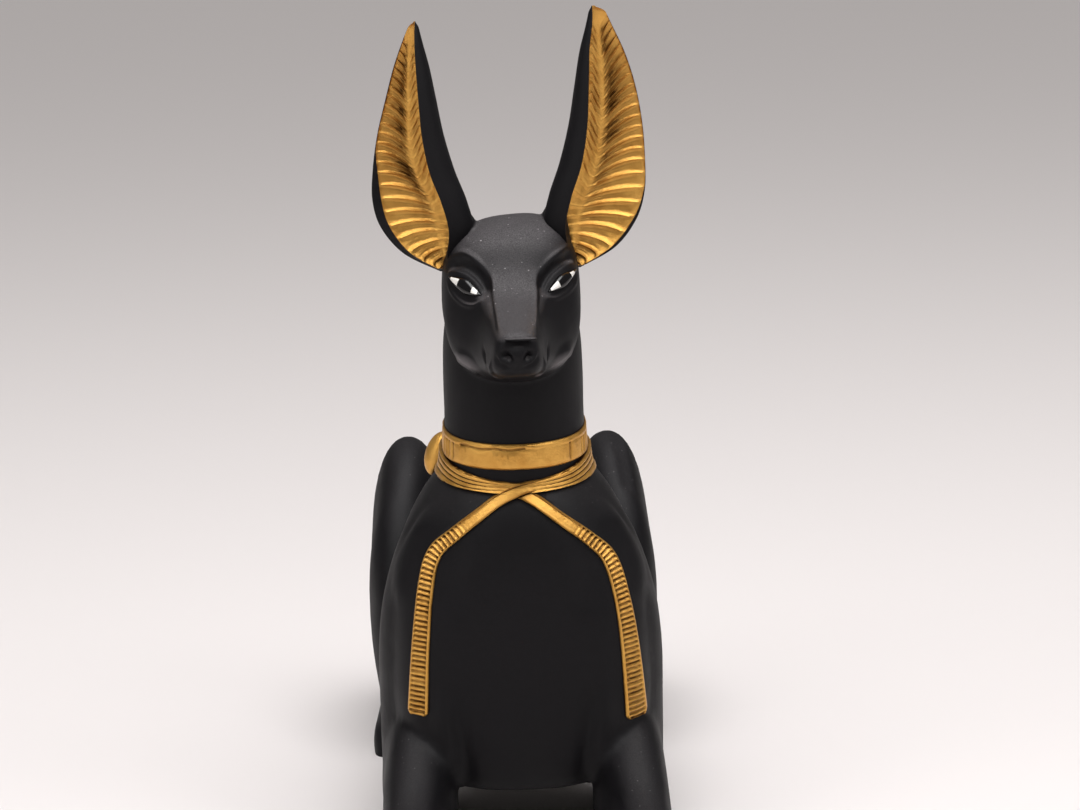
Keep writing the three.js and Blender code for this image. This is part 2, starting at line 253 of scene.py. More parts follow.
def paint(name, colour, metallic, roughness):
    material = bpy.data.materials.new(name)
    material.use_nodes = True
    shader = material.node_tree.nodes["Principled BSDF"]
    shader.inputs["Base Color"].default_value = linear(colour)
    shader.inputs["Metallic"].default_value = metallic
    shader.inputs["Roughness"].default_value = roughness
    return material, material.node_tree, shader


# Matt black acrylic, sprayed. It gives a soft grey sheen where light falls from above, and a fine grit. What
# faces up carries pale dust and specks together with a painted sheen, a pale colour that stands in for light
# from above. This grows towards the head, so the head is painted lighter than the body. Round the eyes less
# of it is laid on, so they stay darker. The jaws carry paler patches, and the corners of the lips carry
# painted highlights. Patterns are in
# grains to the metre: grit each 0.24 mm, patches each 11 mm and specks each 1.4 mm.
GRIT, PATCHES, SPECKS = 4200, 90, 700
SHEEN_RISES_FROM, SHEEN_FULL_AT = 85, 125

black, tree, shader = paint("sprayed_matt_black", "100f12", 0, 0.55)
shader.inputs["Specular IOR Level"].default_value = 0.16
place = add(tree, "ShaderNodeTexCoord").outputs["Object"]
normal = add(tree, "ShaderNodeNewGeometry").outputs["Normal"]
grit = add(tree, "ShaderNodeTexNoise", {"Vector": place}, {"Scale": GRIT, "Detail": 2})
patches = add(tree, "ShaderNodeTexNoise", {"Vector": place}, {"Scale": PATCHES, "Detail": 4})
specks = add(tree, "ShaderNodeTexVoronoi", {"Vector": place}, {"Scale": SPECKS})
dot = add(tree, "ShaderNodeMapRange", {"Value": specks.outputs["Distance"]},
          {"From Min": 0.17, "From Max": 0.09, "To Min": 0, "To Max": 1})
chance = add(tree, "ShaderNodeSeparateXYZ", {"Vector": specks.outputs["Color"]})
rare = add(tree, "ShaderNodeMapRange", {"Value": chance.outputs["X"]},
           {"From Min": 0.55, "From Max": 0.9, "To Min": 0, "To Max": 1})
facing = add(tree, "ShaderNodeSeparateXYZ", {"Vector": normal})
# Faces that look up get pale dust and, with it, a painted sheen that stands in for light from above
up = add(tree, "ShaderNodeMapRange", {"Value": facing.outputs["Z"]},
         {"From Min": 0.5, "From Max": 0.8, "To Min": 0, "To Max": 1})
speck = add(tree, "ShaderNodeMath", {0: dot.outputs["Result"], 1: rare.outputs["Result"]},
            operation="MULTIPLY")
powder = add(tree, "ShaderNodeMapRange", {"Value": grit.outputs["Fac"]},
             {"From Min": 0.3, "From Max": 0.7, "To Min": 0.06, "To Max": 0.24})
height = add(tree, "ShaderNodeSeparateXYZ", {"Vector": place})
# Painted sheen: the pale coat grows from the shoulders to the head, so the head is painted lighter than the
# body
head_sheen_rise = add(tree, "ShaderNodeMapRange", {"Value": height.outputs["Z"]},
              {"From Min": SHEEN_RISES_FROM * MM, "From Max": SHEEN_FULL_AT * MM, "To Min": 0.2, "To Max": 1})
dust_and_sheen_on_tops = add(tree, "ShaderNodeMath", {0: up.outputs["Result"], 1: head_sheen_rise.outputs["Result"]},
              operation="MULTIPLY")
loose = add(tree, "ShaderNodeMath", {0: speck.outputs[0], 1: powder.outputs["Result"]}, operation="MAXIMUM")
dust_and_sheen = add(tree, "ShaderNodeMath", {0: loose.outputs[0], 1: dust_and_sheen_on_tops.outputs[0]}, operation="MULTIPLY")
either_side = add(tree, "ShaderNodeVectorMath", {0: place}, operation="ABSOLUTE").outputs[0]


def around(tree, spot, reach, edge, most):
    """A rounded region on both sides of the head, in millimetres from the figure's middle. It gives its most
    up to the edge, a share of its reach, and fades to 0 from there."""
    spot = [abs(v) * MM for v in spot]
    scale = [1 / (v * MM) for v in reach]
    offset = add(tree, "ShaderNodeVectorMath", {0: either_side}, {1: spot}, operation="SUBTRACT")
    scaled = add(tree, "ShaderNodeVectorMath", {0: offset.outputs[0]}, {1: scale}, operation="MULTIPLY")
    away = add(tree, "ShaderNodeVectorMath", {0: scaled.outputs[0]}, operation="LENGTH")
    region = add(tree, "ShaderNodeMapRange", {"Value": away.outputs["Value"]},
                 {"From Min": 1, "From Max": edge, "To Min": 0, "To Max": most})
    return region.outputs["Result"]


# Round the eyes less dust and painted sheen is laid on, so they stay darker
sockets = around(tree, (12, -75, 142.4), (7.6, 12, 5.4), 0.7, 0.85)
away_from_eyes = add(tree, "ShaderNodeMath", {1: sockets}, {0: 1}, operation="SUBTRACT")
dust_and_sheen_kept = add(tree, "ShaderNodeMath", {0: dust_and_sheen.outputs[0], 1: away_from_eyes.outputs[0]}, operation="MULTIPLY")
# Paler patches on the jaws, and painted highlights at the corners of the lips
jaws = around(tree, (11.2, -75, 122.8), (6.2, 10, 2.8), 0.3, 0.38)
lips = around(tree, (6.2, -98, 122.6), (1.9, 9, 1.7), 0.4, 0.4)
jaw_patches_and_lip_highlights = add(tree, "ShaderNodeMath", {0: jaws, 1: lips}, operation="MAXIMUM")
uneven = add(tree, "ShaderNodeMapRange", {"Value": patches.outputs["Fac"]},
             {"From Min": 0.35, "From Max": 0.6, "To Min": 0.4, "To Max": 1})
patchy_jaws_and_lip_highlights = add(tree, "ShaderNodeMath", {0: jaw_patches_and_lip_highlights.outputs[0], 1: uneven.outputs["Result"]}, operation="MULTIPLY")
dust_and_painted_light = add(tree, "ShaderNodeMath", {0: dust_and_sheen_kept.outputs[0], 1: patchy_jaws_and_lip_highlights.outputs[0]}, operation="MAXIMUM")
tone = add(tree, "ShaderNodeMix", {0: patches.outputs["Fac"]},
           {6: linear("0a090b"), 7: linear("121013")}, data_type="RGBA")
# The pale colour is mixed in where the dust, the painted sheen, the jaw patches and the painted lip
# highlights lie
dust_and_light_coat = add(tree, "ShaderNodeMix", {0: dust_and_painted_light.outputs[0], 6: tone.outputs[2]},
            {7: linear("a09a9c")}, data_type="RGBA")
tree.links.new(dust_and_light_coat.outputs[2], shader.inputs["Base Color"])
rough = add(tree, "ShaderNodeMapRange", {"Value": patches.outputs["Fac"]},
            {"From Min": 0.3, "From Max": 0.7, "To Min": 0.5, "To Max": 0.6})
tree.links.new(rough.outputs["Result"], shader.inputs["Roughness"])
bump = add(tree, "ShaderNodeBump", {"Height": grit.outputs["Fac"]}, {"Strength": 0.25, "Distance": 0.12 * MM})
tree.links.new(bump.outputs["Normal"], shader.inputs["Normal"])
PAINTS = [black]


def painted(piece, coat):
    """Gives a piece every paint of the casting, in one order, and covers it with one of them."""
    piece.data.materials.clear()
    for each in PAINTS:
        piece.data.materials.append(each)
    piece.data.polygons.foreach_set("material_index", [PAINTS.index(coat)] * len(piece.data.polygons))
    return piece


# Hoops of each limb, with the values that all of its hoops share filled in
def trunk_hoop(y, wide, z, low, top, low_power):
    return (0, y, wide, z, low, top, 2.1, low_power, 0)


def leg_hoop(y, x, wide, z, top, low=-6):
    return (x, y, wide, z, low, top, 2.4, 2.4, 0.06)


def thigh_hoop(y, x, wide, z, top, low=-8):
    return (x, y, wide, z, low, top, 2.2, 2.2, 0)


def tail_hoop(y, wide, z, low, top):
    return (0, y, wide, z, low, top, 2, 2, 0)


def toes(paw_x, front, half_width, height):
    """Four small rounded forms that stand a little out of the front of a paw."""
    made = []
    for place in (-0.75, -0.25, 0.25, 0.75):
        set_back = 2 if abs(place) > 0.5 else 0
        bpy.ops.object.select_all(action="DESELECT")
        bpy.ops.mesh.primitive_uv_sphere_add(segments=20, ring_count=14, radius=MM)
        toe = bpy.context.object
        bpy.ops.object.mode_set(mode="EDIT")
        bpy.ops.mesh.select_all(action="SELECT")
        size = (half_width * 0.3, TOE_HALF_LENGTH, height)
        bpy.ops.transform.resize(value=size, center_override=(0, 0, 0))
        middle = at(paw_x + place * half_width * 0.78, front + TOE_HALF_LENGTH + set_back, height * 0.42)
        bpy.ops.transform.translate(value=middle)
        bpy.ops.object.mode_set(mode="OBJECT")
        made.append(toe)
    return made


jackal = run_back("jackal", [
    trunk_hoop(-6.6, 15, 50, 28, 70, 2.6),
    trunk_hoop(-5.6, 22, 50, 20, 79, 2.9),
    trunk_hoop(-2.6, 27.6, 50, 15, 87, 3.2),
    trunk_hoop(4, 31.4, 49, 14, 93.5, 3.2),
    trunk_hoop(14, 33.2, 46, 14, 99, 3),
    trunk_hoop(25, 33.8, 43, 14, 101, 2.8),
    trunk_hoop(37, 33.8, 43, 14, 97, 2.6),
    trunk_hoop(50, 32, 43, 14, 89, 2.4),
    trunk_hoop(64, 30.2, 44, 15, 85, 2.3),
    trunk_hoop(80, 28.2, 45, 17, 81, 2.2),
    trunk_hoop(98, 27.6, 44, 14, 78, 2.4),
    trunk_hoop(114, 27.8, 42, -2, 76.5, 3),
    trunk_hoop(131, 26.8, 38, -8, 73, 3.2),
    trunk_hoop(145, 22, 36, -8, 63, 2.8),
    trunk_hoop(153, 13, 32, 4, 48, 2.1),
], 48, 60)
upper_arm = run_up("upper_arm", [
    (28.5, 30, -4, 6.6, 12),
    (28.4, 27, 14, 7.4, 13.5),
    (27.2, 22, 32, 8.6, 15),
    (26, 18, 48, 9.6, 15.5),
    (23.4, 17, 62, 10.4, 15),
    (19.6, 18, 76, 9.6, 13),
    (16.5, 20, 87, 6, 9),
], 32, 30)
forearm = run_back("forearm", [
    leg_hoop(PAW_FRONT + 1.5, 28.3, 5.4, 3, 7),
    leg_hoop(PAW_FRONT + 6, 28.3, 7.4, 4, 11),
    leg_hoop(PAW_FRONT + 14, 28.3, 7.6, 5, 13.6),
    leg_hoop(-34, 28.3, 6.6, 6, 14),
    leg_hoop(-20, 28.2, 7.2, 8, 18.6),
    leg_hoop(-8, 26.8, 8.8, 10, 26),
    leg_hoop(4, 26.2, 9.4, 11, 34),
    leg_hoop(18, 26.8, 9, 11, 34),
    leg_hoop(32, 28.4, 7.6, 10, 26),
    leg_hoop(42, 28.8, 5.6, 9, 18, -1),
    leg_hoop(47, 29, 2.4, 8.5, 12, 5),
], 32, 50)
thigh = run_back("thigh", [
    thigh_hoop(86, 31, 2.4, 38, 42, 34),
    thigh_hoop(90, 31, 6, 38, 52, 22),
    thigh_hoop(98, 30.4, 8.8, 40, 64, 8),
    thigh_hoop(108, 28.8, 10, 44, 73),
    thigh_hoop(118, 28, 10.4, 49, 79),
    thigh_hoop(127, 27.6, 10.6, 50, 80.5),
    thigh_hoop(137, 26.8, 10.4, 47, 75.5),
    thigh_hoop(147, 25, 9.2, 40, 63),
    thigh_hoop(154, 23.4, 6.4, 32, 47, 0),
    thigh_hoop(158, 22.4, 2.8, 24, 30, 14),
], 32, 40)
hind_foot = run_back("hind_foot", [
    leg_hoop(85.5, 33, 4.8, 3, 6),
    leg_hoop(90, 33, 6.2, 4, 9.6),
    leg_hoop(100, 33, 5.8, 4, 11),
    leg_hoop(118, 32.4, 5.4, 4, 11.5),
    leg_hoop(138, 31, 5.4, 5, 15),
    leg_hoop(151, 29, 5, 6, 16),
    leg_hoop(159, 28, 2.6, 6, 10, 1),
], 28, 30)
tail = run_back("tail", [
    tail_hoop(136, 6, 50, 34, 62),
    tail_hoop(149, 6.6, 38, 14, 55),
    tail_hoop(158, 7, 23, -2, 38),
    tail_hoop(168, 7.4, 9, -6, 20),
    tail_hoop(180, 8, 5, -6, 14),
    tail_hoop(192, 7, 4, -5, 11.6),
    tail_hoop(TAIL_END - 3.5, 4, 3, -2, 7.4),
    tail_hoop(TAIL_END, 0.8, 2, 0.8, 3),
], 24, 40)
limbs = [upper_arm, forearm, thigh, hind_foot]
limbs += toes(28.3, PAW_FRONT, 8, 6) + toes(33, 84, 6.6, 5)
weld(jackal, [tail] + limbs + [other_side(limb) for limb in limbs])

# The neck rises from the shoulders. It is cut under the collar, where the finer grain of the head begins.
NECK = [
    (0, 26, 70, 22, 24),
    (0, 22.5, 86, 19.6, 21.5),
    (0, 20.6, 95, 18, 20),
    (0, 20, 105, 17.4, 19.5),
    (0, 20, 116, 17.4, 19.5),
    (0, 20, 126, 17, 18.5),
    (0, 20, 136, 15.4, 16.5),
]
COLLAR_FRONT, COLLAR_BACK = 98.4, 102.8
collar_slope = Vector((0, COLLAR_FRONT - COLLAR_BACK, 39)).normalized()
weld(jackal, [run_up("neck", NECK, 48, 40)])
melt(jackal, BODY_GRAIN, BODY_SMOOTHING)
# Folds where the forelegs meet the chest, and shoulder points beside the ribbons with a hollow on each side
stroke(jackal, [(17.2, 44), (16.2, 34), (15, 25), (14, 16)], 3, -1)
stroke(jackal, [(20.6, 40), (19.6, 30), (18.4, 20)], 4.5, 1)
stroke(jackal, [(30, 62), (29, 70), (25.6, 78), (20, 85)], 6, 1.1)
stroke(jackal, [(16, 62), (17.6, 70), (15, 77)], 6, -0.9)
stroke(jackal, [(28.4, 84), (31, 76), (32.4, 66)], 3, -0.7, "one")
finish_with(jackal, "DECIMATE", ratio=BODY_KEPT)
slice_off(jackal, at(0, 0.5, COLLAR_FRONT), collar_slope)

# Head
# A jackal's narrow head: flat forehead, long muzzle with a square bridge, and eyes that are set in slants.
# It is cast with the body. The carver cut brows, lids, cheeks, lips and nose as soft grooves and ridges.
HEAD_GRAIN = 0.42
HEAD_SMOOTHING = 12
HEAD_KEPT = 0.35
NOSE = (0.4, -34.9, 129.6)
NOSE_SIZE = (4.6, 2.4, 3.2)
RIM = (0.9, -36.3, 133.7)
RIM_SIZE = (3.9, 1.3, 0.5)
CROWN_FROM = 145
CROWN_SLOPE = 0.075


def head_hoop(y, wide, z, low, top, power, low_power, lean):
    return (0, y, wide, z, low, top, power, low_power, lean)


head = run_back("head", [
    head_hoop(-36, 4.2, 129.6, 126.2, 133.4, 2.6, 2.6, 0.04),
    head_hoop(-33.6, 5.6, 129, 124.4, 135, 2.8, 2.8, 0.1),
    head_hoop(-27, 6.6, 128.8, 123.2, 136.2, 3.2, 3, 0.16),
    head_hoop(-18, 7.6, 129, 121.6, 137.6, 3.4, 2.8, 0.2),
    head_hoop(-9, 9.8, 129.6, 119.6, 139.6, 3.2, 2.3, 0.24),
    head_hoop(-2, 13.4, 131.6, 117.8, 144.4, 2.8, 2.2, 0.2),
    head_hoop(4, 16.2, 134, 116.4, 151.2, 2.9, 2.2, 0.1),
    head_hoop(11, 17, 136, 116, 155.5, 3, 2.1, 0.03),
    head_hoop(20, 17, 137, 114, 156.5, 2.8, 2.3, 0.03),
    head_hoop(29, 15.6, 136, 114, 153.5, 2.5, 2.5, 0.05),
    head_hoop(36, 11.5, 134, 117, 146.5, 2.2, 2.2, 0.05),
    head_hoop(39.5, 5, 132, 124, 137.5, 2, 2, 0),
], 64, 70)
ear_root = run_up("ear_root", [
    (9.6, 16.6, 146, 6, 7),
    (9.8, 16.4, 151, 5.2, 6),
    (10.6, 16, 154, 3.8, 5),
    (11.4, 15.6, 157, 2.8, 4.2),
    (12.4, 15.4, 160, 2, 3.4),
    (13.6, 15.2, 164, 1.2, 2.4),
], 32, 30)


def lump(half_sizes, turns, place, segments=32, rings=20):
    """A rounded form of three half sizes, in millimetres, turned about X, Y and Z in degrees."""
    bpy.ops.object.select_all(action="DESELECT")
    bpy.ops.mesh.primitive_uv_sphere_add(segments=segments, ring_count=rings, radius=MM)
    piece = bpy.context.object
    bpy.ops.object.mode_set(mode="EDIT")
    bpy.ops.mesh.select_all(action="SELECT")
    bpy.ops.transform.resize(value=half_sizes, center_override=(0, 0, 0))
    bpy.ops.object.mode_set(mode="OBJECT")
    turn = Euler([math.radians(angle) for angle in turns]).to_matrix().to_4x4()
    piece.data.transform(Matrix.Translation(at(*place)) @ turn)
    return piece


neck = run_up("neck", NECK, 64, 60)
weld(head, [neck, ear_root, other_side(ear_root), lump(NOSE_SIZE, (0, 0, 0), NOSE)])
melt(head, HEAD_GRAIN, HEAD_SMOOTHING)

# The crown slopes down a little towards the animal's right
places = corners_of(head)
rise = np.clip((places[:, 2] / MM - CROWN_FROM) / 10, 0, 1)
places[:, 2] += rise * (CROWN_SLOPE * np.clip(places[:, 0], -16 * MM, 16 * MM) - 0.7 * MM)
head.data.vertices.foreach_set("co", places.ravel())
head.data.update()
# The two edges of the nose's bridge
stroke(head, [(5.5, 145), (4.9, 140), (4.5, 137), (4.1, 134.4)], 1.2, 0.55, shift=0.6)
# Brows, and the hollows under them
stroke(head, [(-15.4, 145.2), (-12.6, 146), (-9.8, 145), (-7.6, 142.8), (-6.6, 139.6)],
       2.7, -1.3, "one", taper=0.15)
stroke(head, [(7.2, 139.8), (8.4, 142.6), (10.6, 144.8), (13.2, 146.2), (15.4, 146.6)],
       2.5, -1.3, "one", taper=0.15)
stroke(head, [(-14, 148.4), (-11.4, 148.6), (-9, 147.4), (-7, 145.4), (-5.2, 142.6)],
       1.3, 0.55, "one", taper=0.5)
stroke(head, [(5.9, 142.4), (7.8, 144.8), (10.2, 146.9), (12.8, 148.2), (15, 149)],
       1.3, 0.5, "one", taper=0.5)
# Upper and lower lids
stroke(head, [(-15.4, 143.6), (-13.6, 144), (-11.2, 143.6), (-8.9, 142.1), (-6.9, 139.6)],
       0.85, 0.6, "one", taper=0.15)
stroke(head, [(-16, 142), (-14.8, 139.6), (-13.2, 137.8), (-11.3, 136.9), (-9.2, 137.1), (-7.2, 138.8)],
       0.8, 0.5, "one")
stroke(head, [(7.4, 139.4), (8.7, 141.4), (10.6, 143.2), (13, 144.5), (15.4, 145.1)],
       0.85, 0.6, "one", taper=0.15)
stroke(head, [(8, 138.6), (10.4, 137.9), (13.1, 138.6), (15.4, 140.3), (16.6, 142.4)], 0.8, 0.4, "one")
# Cheeks: a full fold above the jaw, and the jaw's edge below it
stroke(head, [(-14.2, 124.6), (-12.2, 124), (-10, 123.2), (-8.6, 122.4)], 2.8, 1, "one", taper=0.4)
stroke(head, [(9.2, 123), (10.8, 124), (12.6, 124.8), (14.4, 125.4)], 2.8, 1, "one", taper=0.4)
stroke(head, [(-14.6, 123), (-12.5, 121.8), (-9.6, 120.5), (-8, 118.8)], 0.9, 0.4, "one")
stroke(head, [(14.6, 123.6), (11.6, 122.4), (8.8, 121.2)], 0.9, 0.4, "one")
# Lips: a crease beside the muzzle that ends at a full corner
stroke(head, [(8, 129), (7.6, 127), (7.2, 124.8), (6.8, 122.8)], 1.3, -0.8, shift=0.2, taper=0.3)
stroke(head, [(6.2, 128), (6.2, 126), (5.6, 124.3), (4.2, 123), (1.4, 122.2)], 1, 0.75, shift=0.2)
# Nose: nostrils like commas, the groove under them, and the edge of the upper lip
stroke(head, [(3.5, 130.2), (2.8, 129.7), (1.9, 128.6)], 1.5, -2.2, shift=0.3, taper=0.35)
stroke(head, [(0.3, 129.4), (0.2, 127.8), (0.2, 125.6)], 0.7, -0.4, "one", taper=0.3)
stroke(head, [(5, 129.4), (4, 127.8), (1.6, 126.8)], 0.8, -0.5)
finish_with(head, "SMOOTH", factor=0.5, iterations=3)
finish_with(head, "DECIMATE", ratio=HEAD_KEPT)
# The flat bridge ends in a thin rim that hangs over the nose
weld(head, [lump(RIM_SIZE, (0, 0, 0), RIM)])

# Eyes
# Almond shaped eyeballs that lie between the lids, cast with the head. They are painted in glossy enamel,
# black for the iris and white in both corners.
# Each eye: its middle as x and z, half length, half height and slant in degrees. Then, along the eye, where
# the middle of the iris is and how far the white paint reaches.
EYES = [
    ((-11.25, 141.1), 4.3, 1.8, -22.7, 0.25, (-3.5, 3.4)),
    ((12.15, 141.5), 4.2, 1.6, 26.9, 0.35, (-3.6, 3.2)),
]
IRIS = 1.7
# How far an eye stands out at its middle and at its edge, and how deep its inner skin is sunk in the head
EYE_BULGE = 0.75
EYE_EDGE = 0.25
EYE_SUNK = 1.6
EYE_HOOPS = 64

# Enamel, brushed on. It gives small clear reflections, and the white is the brightest spot on the figure.
white, _, _ = paint("white_enamel", "dedbd6", 0, 0.3)
iris, _, _ = paint("glossy_black_enamel", "09080a", 0, 0.16)
PAINTS += [white, iris]


def eyeball(middle, half_length, half_height, slant, look, whites):
    """A lens of two skins that follow the head: one bulges out of it and one is sunk in it."""
    run = Vector((math.cos(math.radians(slant)), math.sin(math.radians(slant))))
    _, _, outward, _ = head.ray_cast(at(middle[0], IN_FRONT, middle[1]), (0, 1, 0))
    hoops, place_of = [], {}
    for i in range(1, EYE_HOOPS):
        u = -1 + 2 * i / EYE_HOOPS
        half = half_height * (1 - abs(u) ** 1.6)
        hoop = []
        for v, out in oval(24, 2):
            x = middle[0] + run.x * u * half_length - run.y * v * half
            z = middle[1] + run.y * u * half_length + run.x * v * half
            _, place, _, _ = head.ray_cast(at(x, IN_FRONT, z), (0, 1, 0))
            bulge = EYE_BULGE * (1 - u * u) ** 0.5 + EYE_EDGE
            hoop.append(place + outward * (bulge if out > 0 else EYE_SUNK) * out * MM)
            place_of[tuple(hoop[-1])] = (u * half_length, v)
        hoops.append(hoop)
    piece = painted(skin("eyeball", hoops), iris)
    for face in piece.data.polygons:
        spots = [place_of[tuple(piece.data.vertices[v].co)] for v in face.vertices]
        along, over = np.mean(spots, axis=0)
        if abs(along - look) > IRIS and whites[0] < along < whites[1] and abs(over) < 0.5:
            face.material_index = PAINTS.index(white)
    return piece


weld(painted(head, black), [eyeball(*eye) for eye in EYES])
slice_off(head, at(0, 0.5, COLLAR_FRONT - 1.5), -collar_slope)
weld(painted(jackal, black), [head])

# Ears
# Long scoops that open forwards and outwards, cast with the head. Their insides carry ribs like a feather's
# and are painted gold. The animal's right ear is a little shorter, and slimmer near its tip.
# Slices: z, the rim's x and y, the outer edge's x and y, how far the scoop bulges, and how much slimmer the
# right ear is there.
EARS = [
    (143, 15.6, 11.5, 17.2, 13, 0.6, 0),
    (147.5, 15.4, 9.5, 26, 15, 4.2, 0),
    (154, 14.8, 8, 31.4, 16.5, 6, 0),
    (161, 16.3, 7.4, 33.7, 17.5, 6.2, 0.3),
    (169, 19, 7.4, 34, 18.4, 6, 0.9),
    (178, 20.6, 8, 33.5, 19, 5.2, 1.8),
    (187, 21.2, 9, 32, 19.4, 4.2, 2.6),
    (195, 21.6, 10.4, 29.6, 19, 3.2, 2.4),
    (202, 21.8, 12, 26.5, 17.6, 1.8, 1.8),
    (207, 21.6, 14, 24.2, 15.6, 0.6, 1.6),
]
EAR_FOOT, EAR_TOP = 143, 207
EAR_TALL = EAR_TOP - EAR_FOOT
EAR_WALL = 2.4
TIP_ROUNDING = 2
# What the left ear is wider by at its rim, and what the right ear is shorter by
FULLER = 1.2
SHORTER = 2.6
RIBS = 27
ROWS_PER_RIB = 8
RIB_DEPTH = 0.78
RIB_SEED = 11
# How steeply the ribs leave the midrib and how steeply they reach the edge, by height up the ear
SWEEP = [
    (0, -0.4, -0.4),
    (0.11, -0.2, -0.45),
    (0.16, 0.1, -0.4),
    (0.25, 0.3, -0.05),
    (0.32, 0.75, -0.1),
    (0.4, 0.95, 0),
    (0.54, 1.1, 0.2),
    (0.75, 1.2, 0.5),
    (1, 1.2, 0.6),
]

# Antique gold: metal flakes in varnish, brushed on, with a brown wash left in every hollow. It gives a warm
# broken shine. Patterns are in grains to the metre: flakes each 0.7 mm, coarser than real ones so that they
# show, streaks each 4 mm, and dents of the worked surface each 2 mm.
FLAKES, STREAKS, DENTS = 1500, 260, 520
WASH_REACH = 1.8

gold, tree, shader = paint("antique_gold_paint", "d2a04c", 0.8, 0.4)
place = add(tree, "ShaderNodeTexCoord").outputs["Object"]
flakes = add(tree, "ShaderNodeTexNoise", {"Vector": place}, {"Scale": FLAKES, "Detail": 4})
streaks = add(tree, "ShaderNodeTexNoise", {"Vector": place}, {"Scale": STREAKS, "Detail": 6})
shut = add(tree, "ShaderNodeAmbientOcclusion", values={"Distance": WASH_REACH * MM}, samples=12)
wash = add(tree, "ShaderNodeMapRange", {"Value": shut.outputs["AO"]},
           {"From Min": 0.56, "From Max": 0.97, "To Min": 0, "To Max": 1})
coat = add(tree, "ShaderNodeMix", {0: streaks.outputs["Fac"]},
           {6: linear("b67c2f"), 7: linear("eab860")}, data_type="RGBA")
washed = add(tree, "ShaderNodeMix", {0: wash.outputs["Result"], 7: coat.outputs[2]},
             {6: linear("432507")}, data_type="RGBA")
tree.links.new(washed.outputs[2], shader.inputs["Base Color"])
rough = add(tree, "ShaderNodeMapRange", {"Value": streaks.outputs["Fac"]},
            {"From Min": 0.3, "From Max": 0.7, "To Min": 0.34, "To Max": 0.5})
tree.links.new(rough.outputs["Result"], shader.inputs["Roughness"])
worked = add(tree, "ShaderNodeTexNoise", {"Vector": place}, {"Scale": DENTS, "Detail": 5, "Roughness": 0.65})
dents = add(tree, "ShaderNodeBump", {"Height": worked.outputs["Fac"]},
            {"Strength": 0.5, "Distance": 0.4 * MM})
bump = add(tree, "ShaderNodeBump", {"Height": flakes.outputs["Fac"], "Normal": dents.outputs["Normal"]},
           {"Strength": 0.4, "Distance": 0.15 * MM})
tree.links.new(bump.outputs["Normal"], shader.inputs["Normal"])
PAINTS.append(gold)
jackal.data.materials.append(gold)


def sheet_of(rows, coat):
    """A grid with one vertex for each point of the rows, painted with one of the casting's paints."""
    bpy.ops.object.select_all(action="DESELECT")
    bpy.ops.mesh.primitive_grid_add(x_subdivisions=len(rows[0]) - 1, y_subdivisions=len(rows) - 1, size=MM)
    piece = bpy.context.object
    piece.data.vertices.foreach_set("co", [v for row in rows for point in row for v in point])
    return painted(piece, coat)


def soft(value):
    """Rises from 0 to 1 with rounded ends."""
    value = min(1, max(0, value))
    return value * value * (3 - 2 * value)


SLICES = np.array([between(EARS, k / 400) for k in range(401)])


def ear_bow(z, slimness):
    """The bow across the ear at a height, as the four points of its curve, and how deep it is."""
    above = min(max(int(np.searchsorted(SLICES[:, 0], z)), 1), 400)
    low, high = SLICES[above - 1], SLICES[above]
    _, rim_x, rim_y, edge_x, edge_y, bulge, slimmer = low + (high - low) * (z - low[0]) / (high[0] - low[0])
    rim = np.array((rim_x - FULLER * (1 - slimness) * soft((EAR_TOP - z) / 12), rim_y))
    bow = np.array((
        (0, 0),
        (rim_x - 2 * bulge - rim[0], 0.6 * bulge),
        (rim_x - 0.9 * bulge - rim[0], edge_y + 0.9 * bulge - rim_y),
        (edge_x - slimness * slimmer - rim[0], edge_y - rim_y),
    ))
    tip = max(0.25, 1 - max(0, (z - EAR_TOP + TIP_ROUNDING) / TIP_ROUNDING) ** 2.5)
    return rim + bow * tip, bulge * tip


def along_bow(a, b, c, d, t):
    """A place on the bow, and the way from there into the hollow."""
    s = 1 - t
    run = (b - a) * s * s + 2 * (c - b) * s * t + (d - c) * t * t
    inward = np.array((run[1], -run[0])) / np.linalg.norm(run)
    return a * s**3 + 3 * b * s * s * t + 3 * c * s * t * t + d * t**3, inward


